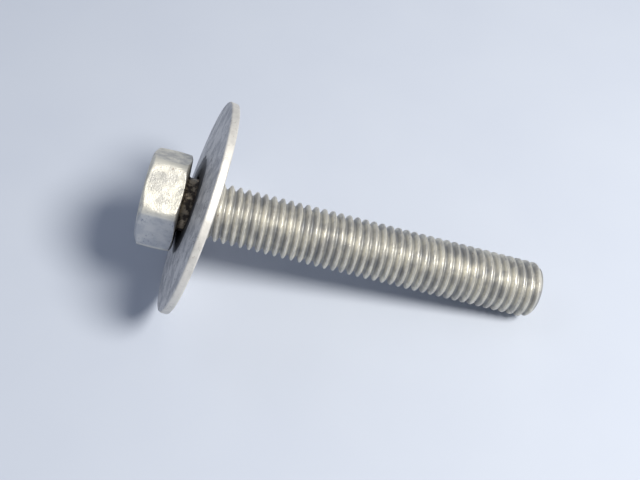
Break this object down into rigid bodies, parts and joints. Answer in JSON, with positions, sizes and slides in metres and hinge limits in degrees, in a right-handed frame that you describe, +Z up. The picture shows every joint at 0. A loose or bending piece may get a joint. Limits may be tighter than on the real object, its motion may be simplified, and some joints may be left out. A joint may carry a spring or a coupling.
{
  "type": "hex bolt",
  "caption": "Fully threaded hexagon-head bolt with a large loose dished washer captive on the neck under its head, lying at rest on the washer's rim and the thread's tip.",
  "frame": {"origin": "on the surface the bolt lies on, under the centre of the whole object's box", "axes": "+Z up from that surface; +X is the bolt's axis from head to tip seen from above, and the axis itself droops by about 12.4 degrees from +X; +Y completes the frame, and X-Z is the plane that the bolt's axis and the washer's lean lie in"},
  "size_m": [0.0834, 0.044, 0.0415],
  "materials": {
    "bolt_steel": "dull zinc coating over forged and rolled steel, satin, lightly stained",
    "washer_steel": "dull zinc coating over pressed steel, matt, lightly stained"
  },
  "bodies": {
    "bolt": {"bolt": "bolt_steel"},
    "washer": {"washer": "washer_steel"}
  },
  "joints": [
    {"name": "washer_spin", "type": "hinge", "parent": "bolt", "child": "washer", "pos_m": [-0.03033, 0, 0.02102], "axis": [0.9334, 0, -0.3589], "continuous": true}
  ]
}
